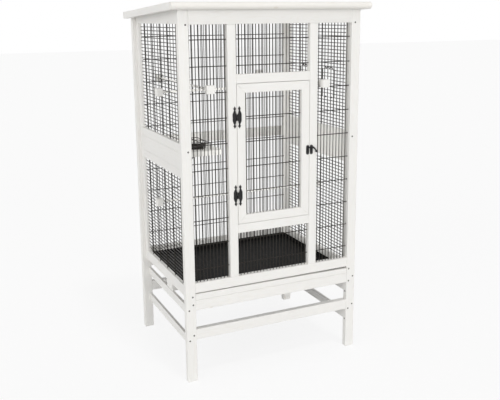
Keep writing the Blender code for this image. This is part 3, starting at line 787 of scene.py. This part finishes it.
def build_dish():
    """A shallow dish that sits in an open wire basket."""
    low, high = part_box("feeding_dish")
    middle = (low + high) / 2
    outer = (high.x - low.x) / 2 - BASKET_WIRE
    bm = bmesh.new()
    points = [(outer * out, middle.y, low.z + up) for out, up in DISH_PROFILE]
    verts = [bm.verts.new(point) for point in points]
    edges = [bm.edges.new(pair) for pair in zip(verts, verts[1:])]
    bmesh.ops.spin(bm, geom=verts + edges, cent=(0, middle.y, 0), axis=(0, 0, 1), angle=2 * math.pi,
                   steps=DISH_SIDES, use_merge=True)
    bmesh.ops.remove_doubles(bm, verts=bm.verts, dist=SPUN_MERGE)
    bmesh.ops.translate(bm, verts=bm.verts, vec=(middle.x, 0, 0))
    bmesh.ops.recalc_face_normals(bm, faces=bm.faces)
    piece("feeding_dish_bowl", bm, "cage", "dish_black", "dish", replaced=["feeding_dish"])

    bm = bmesh.new()
    turns = [2 * math.pi * k / DISH_SIDES for k in range(DISH_SIDES)]
    for share, height in BASKET_RINGS:
        ring = [(middle.x + outer * share * math.cos(turn), middle.y + outer * share * math.sin(turn),
                 low.z + height) for turn in turns]
        bent_wire(bm, ring, BASKET_WIRE, closed=True)
    for k in range(BASKET_RIBS):
        turn = 2 * math.pi * k / BASKET_RIBS
        around = Vector((math.cos(turn), math.sin(turn), 0))
        ends = []
        for share, height in (BASKET_RINGS[0], BASKET_RINGS[-1]):
            end = middle + around * outer * share
            end.z = low.z + height
            ends.append(end)
        bar(bm, *ends, BASKET_WIRE * RIB_SHARE)
    piece("feeding_dish_basket", bm, "cage", "wire_black", "wire", sharp=ROUND)


def build_holder():
    """The wire frame over the dish and the bent wire brackets under the shelf."""
    shelf_low, shelf_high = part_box("feeding_shelf")
    low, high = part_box("feeding_dish")
    x0, x1 = (high.x - inward for inward in HOLDER_IN)
    y0, y1 = HOLDER_SPAN
    top = low.z + BASKET_RINGS[0][1] + BASKET_WIRE + HOLDER_WIRE
    bm = bmesh.new()
    bent_wire(bm, [(x0, y0, top), (x1, y0, top), (x1, y1, top), (x0, y1, top)], HOLDER_WIRE, closed=True)
    for x in (x0, x1):
        for y in (y0, y1):
            bar(bm, (x, y, top), (x, y, shelf_high.z), HOLDER_WIRE)
    wall = shelf_low.x - BRACKET_OUT
    under = shelf_low.z - BRACKET_WIRE
    for y in (shelf_low.y + BRACKET_IN, shelf_high.y - BRACKET_IN):
        points = []
        for k in range(BRACKET_STEPS + 1):
            drop = BRACKET_DROP * math.cos(math.pi / 2 * k / BRACKET_STEPS)
            points.append((wall + BRACKET_REACH * k / BRACKET_STEPS, y, under - drop))
        bent_wire(bm, points, BRACKET_WIRE)
    piece("dish_holder", bm, "cage", "wire_black", "wire", sharp=ROUND)


def build_feeding_place():
    shelf_low, shelf_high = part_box("feeding_shelf")
    bm = bmesh.new()
    board(bm, shelf_low, shelf_high, SMALL_EASED)
    piece("feeding_shelf_board", bm, "cage", "white_paint", "paint_y", replaced=["feeding_shelf"],
          sharp=FLAT)
    build_dish()
    build_holder()


# Stage

# The camera at the photograph's angle, its turns in degrees and its lens and sensor in millimetres. Views
# from other angles keep its shift, so the shift is small
CAMERA_AT = (-1.2892, -2.8488, 1.4753)
CAMERA_YAW = 24.8209
CAMERA_DOWN = 12.5637
CAMERA_ROLL = 0.545
CAMERA_LENS = 51.20
CAMERA_SENSOR = 36.0
CAMERA_SHIFT = -0.05
STAGE_HALF = 30.0
# How much of the floor's look is plain white where it is seen directly, and how strongly the world
# lights the cage
FLOOR_GLOW = 0.86
WORLD_LIGHT = 0.42
# Distant lamps: how far down each shines, and from how far round to the right, in degrees
LAMPS = {
    "key_lamp": {"strength": 0.6, "angle": 9.0, "down": 65.0, "from_right": 12.0},
    "left_fill": {"strength": 1.45, "angle": 50.0, "down": 12.0, "from_right": -60.0},
    "front_fill": {"strength": 0.85, "angle": 30.0, "down": 8.0, "from_right": 5.0},
}
# Soft panels just inside the front and the left wall, which only light the inside
INNER_LAMPS = {
    "inner_front_panel": {"watts": 1.9, "at": (0.05, FRONT + 0.05, 0.93), "turn": 0.0, "wide": 0.56},
    "inner_left_panel": {"watts": 0.7, "at": (LEFT + 0.06, 0.08, 0.93), "turn": -90.0, "wide": 0.36},
}
INNER_TALL = 1.05


def turned(*turns):
    """Turns about an axis in degrees, one after another."""
    result = Matrix.Identity(4)
    for axis, degrees in turns:
        result = result @ Matrix.Rotation(math.radians(degrees), 4, axis)
    return result


def add_camera():
    camera = bpy.data.cameras.new("camera")
    camera.lens = CAMERA_LENS
    camera.sensor_width = CAMERA_SENSOR
    camera.shift_y = CAMERA_SHIFT
    obj = bpy.data.objects.new("camera", camera)
    aim = turned(("Z", -CAMERA_YAW), ("X", 90 - CAMERA_DOWN), ("Z", -CAMERA_ROLL))
    obj.matrix_world = Matrix.Translation(CAMERA_AT) @ aim
    bpy.context.scene.collection.objects.link(obj)
    bpy.context.scene.camera = obj


def add_lamp(name, values):
    """A distant lamp in front of the cage, tilted down and turned to its right."""
    lamp = bpy.data.lights.new(name, "SUN")
    lamp.energy = values["strength"]
    lamp.angle = math.radians(values["angle"])
    obj = bpy.data.objects.new(name, lamp)
    obj.matrix_world = turned(("Z", values["from_right"]), ("X", 90 - values["down"]))
    bpy.context.scene.collection.objects.link(obj)


def add_inner_lamp(name, values):
    """A soft upright panel that shines into the cage and can't be seen itself."""
    lamp = bpy.data.lights.new(name, "AREA")
    lamp.shape = "RECTANGLE"
    lamp.size = values["wide"]
    lamp.size_y = INNER_TALL
    lamp.energy = values["watts"]
    obj = bpy.data.objects.new(name, lamp)
    obj.matrix_world = Matrix.Translation(values["at"]) @ turned(("Z", values["turn"]), ("X", 90.0))
    obj.visible_camera = False
    obj.visible_glossy = False
    bpy.context.scene.collection.objects.link(obj)


def seen_directly(tree):
    """1 for rays from the camera, from gloss or through glass, which see the plain white stage."""
    path = tree.nodes.new("ShaderNodeLightPath")
    total = path.outputs["Is Camera Ray"]
    for name in ("Is Glossy Ray", "Is Transmission Ray"):
        either = tree.nodes.new("ShaderNodeMath")
        either.operation = "MAXIMUM"
        tree.links.new(total, either.inputs[0])
        tree.links.new(path.outputs[name], either.inputs[1])
        total = either.outputs[0]
    return total


def add_world():
    world = bpy.data.worlds.new("studio")
    world.use_nodes = True
    tree = world.node_tree
    background = tree.nodes["Background"]
    background.inputs["Color"].default_value = (1.0, 1.0, 1.0, 1.0)
    strength = tree.nodes.new("ShaderNodeMapRange")
    strength.inputs["To Min"].default_value = WORLD_LIGHT
    strength.inputs["To Max"].default_value = 1.0
    tree.links.new(seen_directly(tree), strength.inputs["Value"])
    tree.links.new(strength.outputs[0], background.inputs["Strength"])
    bpy.context.scene.world = world


def add_floor():
    """A pale floor that keeps the cage's soft shadow."""
    bm = bmesh.new()
    bmesh.ops.create_grid(bm, x_segments=1, y_segments=1, size=STAGE_HALF)
    mesh = bpy.data.meshes.new("floor")
    bm.to_mesh(mesh)
    bm.free()
    finish = Finish("floor_finish", colours().floor, 0.9, 0.0, 0.0)
    glow = finish.add("ShaderNodeEmission", {"Color": (1.0, 1.0, 1.0, 1.0), "Strength": 1.0})
    share = finish.calc("MULTIPLY", seen_directly(finish.tree), FLOOR_GLOW)
    both = finish.add("ShaderNodeMixShader", {0: share})
    finish.tree.links.new(finish.shader.outputs[0], both.inputs[1])
    finish.tree.links.new(glow.outputs[0], both.inputs[2])
    output = finish.tree.nodes["Material Output"]
    finish.tree.links.new(both.outputs[0], output.inputs["Surface"])
    mesh.materials.append(finish.material)
    floor = bpy.data.objects.new("floor", mesh)
    bpy.context.scene.collection.objects.link(floor)


def build_stage():
    add_camera()
    for name, values in LAMPS.items():
        add_lamp(name, values)
    for name, values in INNER_LAMPS.items():
        add_inner_lamp(name, values)
    add_world()
    add_floor()
    bpy.context.scene.view_settings.view_transform = "Standard"


# Operators, one for each piece or group of like pieces

class AVIARY_OT_stage(bpy.types.Operator):
    """Set the camera, the lamps, the world and the floor"""
    bl_idname = "aviary.stage"
    bl_label = "Stage"

    def execute(self, context):
        build_stage()
        return {"FINISHED"}


class AVIARY_OT_boards(bpy.types.Operator):
    """Paint the posts, rails, boards and the roof"""
    bl_idname = "aviary.boards"
    bl_label = "Boards"

    def execute(self, context):
        dress_boards()
        return {"FINISHED"}


class AVIARY_OT_side_frames(bpy.types.Operator):
    """Build the side frames from stiles and rails"""
    bl_idname = "aviary.side_frames"
    bl_label = "Side frames"

    def execute(self, context):
        build_side_frames()
        return {"FINISHED"}


class AVIARY_OT_door_frame(bpy.types.Operator):
    """Build the mitred door frame"""
    bl_idname = "aviary.door_frame"
    bl_label = "Door frame"

    def execute(self, context):
        build_door_frame()
        return {"FINISHED"}


class AVIARY_OT_wire_walls(bpy.types.Operator):
    """Build the welded wire of every wall"""
    bl_idname = "aviary.wire_walls"
    bl_label = "Wire walls"

    def execute(self, context):
        build_wire_walls()
        return {"FINISHED"}


class AVIARY_OT_hatches(bpy.types.Operator):
    """Build the feeding hatches"""
    bl_idname = "aviary.hatches"
    bl_label = "Feeding hatches"

    def execute(self, context):
        build_hatches()
        return {"FINISHED"}


class AVIARY_OT_fittings(bpy.types.Operator):
    """Finish the hinges and the latch, and add the screws"""
    bl_idname = "aviary.fittings"
    bl_label = "Fittings"

    def execute(self, context):
        build_fittings()
        return {"FINISHED"}


class AVIARY_OT_perches(bpy.types.Operator):
    """Build the perches"""
    bl_idname = "aviary.perches"
    bl_label = "Perches"

    def execute(self, context):
        build_perches()
        return {"FINISHED"}


class AVIARY_OT_tray(bpy.types.Operator):
    """Finish the tray"""
    bl_idname = "aviary.tray"
    bl_label = "Tray"

    def execute(self, context):
        build_tray()
        return {"FINISHED"}


class AVIARY_OT_feeding_place(bpy.types.Operator):
    """Build the feeding shelf, the dish in its basket and the wire holder"""
    bl_idname = "aviary.feeding_place"
    bl_label = "Feeding place"

    def execute(self, context):
        build_feeding_place()
        return {"FINISHED"}


STEPS = (AVIARY_OT_stage, AVIARY_OT_boards, AVIARY_OT_side_frames, AVIARY_OT_door_frame,
         AVIARY_OT_wire_walls, AVIARY_OT_hatches, AVIARY_OT_fittings, AVIARY_OT_perches, AVIARY_OT_tray,
         AVIARY_OT_feeding_place)


class AVIARY_PT_sidebar(bpy.types.Panel):
    """Sizes and colours, and a button for each group of pieces"""
    bl_label = "Aviary"
    bl_idname = "AVIARY_PT_sidebar"
    bl_space_type = "VIEW_3D"
    bl_region_type = "UI"
    bl_category = "Aviary"

    def draw(self, context):
        for group in (context.scene.aviary_sizes, context.scene.aviary_colours):
            for name in group.__annotations__:
                self.layout.prop(group, name)
        for step in STEPS:
            self.layout.operator(step.bl_idname)


CLASSES = (AviarySizes, AviaryColours, *STEPS, AVIARY_PT_sidebar)


def register():
    for cls in CLASSES:
        bpy.utils.register_class(cls)
    bpy.types.Scene.aviary_sizes = PointerProperty(type=AviarySizes)
    bpy.types.Scene.aviary_colours = PointerProperty(type=AviaryColours)


def unregister():
    del bpy.types.Scene.aviary_colours
    del bpy.types.Scene.aviary_sizes
    for cls in reversed(CLASSES):
        bpy.utils.unregister_class(cls)


def main():
    register()
    bpy.ops.aviary.stage()
    bpy.ops.aviary.boards()
    bpy.ops.aviary.side_frames()
    bpy.ops.aviary.door_frame()
    bpy.ops.aviary.wire_walls()
    bpy.ops.aviary.hatches()
    bpy.ops.aviary.fittings()
    bpy.ops.aviary.perches()
    bpy.ops.aviary.tray()
    bpy.ops.aviary.feeding_place()


if __name__ == "__main__":
    main()
